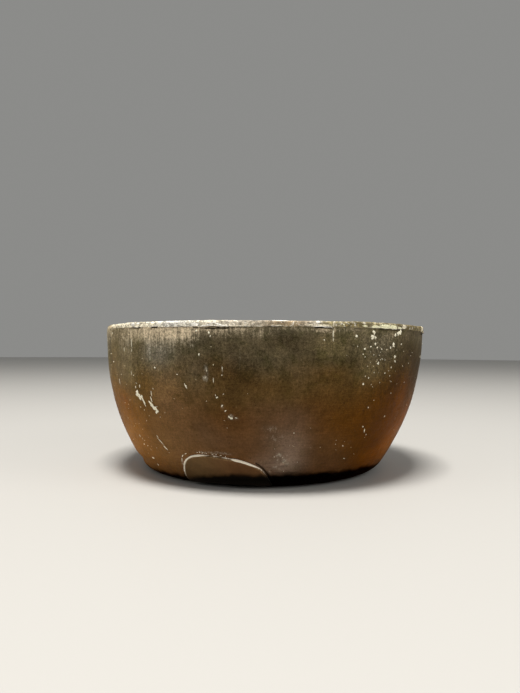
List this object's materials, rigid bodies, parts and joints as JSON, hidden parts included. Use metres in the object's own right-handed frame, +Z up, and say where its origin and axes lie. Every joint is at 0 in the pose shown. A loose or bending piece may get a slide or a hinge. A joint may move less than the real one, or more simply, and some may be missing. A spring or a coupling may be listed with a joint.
{
  "type": "go stone bowl",
  "caption": "Wide, low, round-bottomed metal bowl with a folded strip over its rim and a soldered repair plate low on its side; open at the top to hold go stones.",
  "frame": {"origin": "centre of the flat base, on the surface that the bowl stands on", "axes": "+Z up along the bowl's axis, -Y towards the side with the repair plate, +X to the right as seen from that side"},
  "size_m": [0.15, 0.15, 0.066],
  "materials": {
    "bowl_bronze": "old brown patina, semi-gloss, scratched, with pale paint specks",
    "rim_metal": "dull, whitish oxide over grey metal, worn",
    "patch_bronze": "smooth brown-grey patina, semi-gloss",
    "solder": "pale solder, worn bright",
    "old_paint": "matte cream paint specks, chipped"
  },
  "bodies": {
    "root": {"bowl_shell": "bowl_bronze", "rim_binding": "rim_metal", "repair_patch": "patch_bronze", "patch_solder": "solder"}
  },
  "joints": []
}
